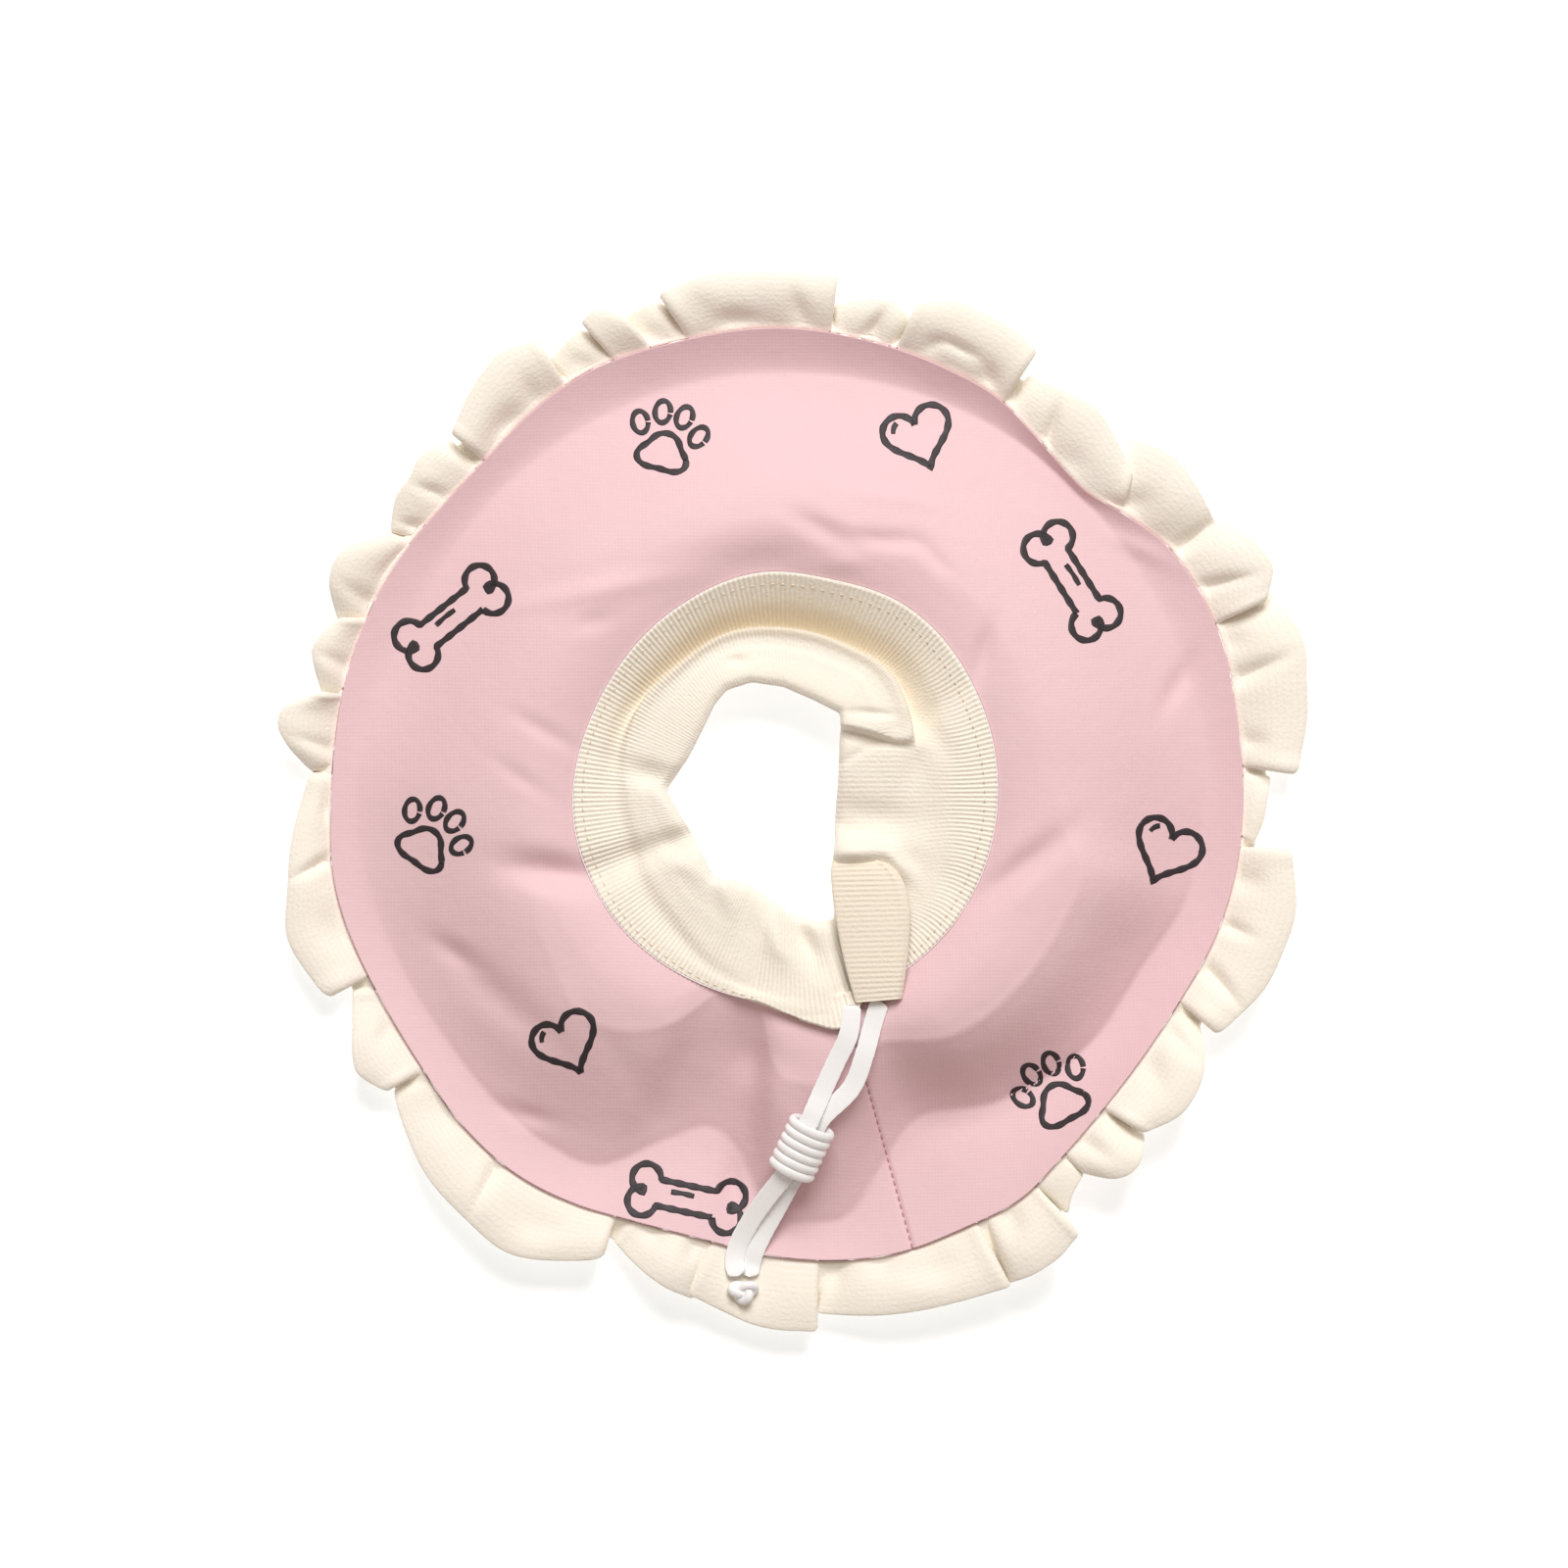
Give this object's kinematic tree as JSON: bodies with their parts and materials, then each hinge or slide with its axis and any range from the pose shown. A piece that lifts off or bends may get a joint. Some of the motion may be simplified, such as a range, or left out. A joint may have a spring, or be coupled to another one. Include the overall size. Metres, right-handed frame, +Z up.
{
  "type": "small pet elizabethan collar",
  "caption": "Soft padded cone collar for a small pet with a gathered ruffle rim, a rib-knit neck cuff and an elastic drawcord with a cord lock.",
  "frame": {"origin": "on the table, under the middle of the collar's bounding box without its drawcord", "axes": "+Z up out of the neck side, the drawcord comes out towards -Y, +X to the right seen from above"},
  "size_m": [0.2628, 0.2706, 0.0244],
  "materials": {
    "pink_fabric": "smooth fine weave with a slight sheen",
    "cream_knit": "matte rib knit",
    "white_elastic": "matte woven elastic",
    "white_plastic": "satin moulded plastic"
  },
  "bodies": {
    "root": {"cone_panel": "pink_fabric", "ruffle": "cream_knit", "neck_cuff": "cream_knit", "drawcord_left": "white_elastic", "drawcord_right": "white_elastic", "cord_lock": "white_plastic", "cord_knot": "white_elastic"}
  },
  "joints": []
}
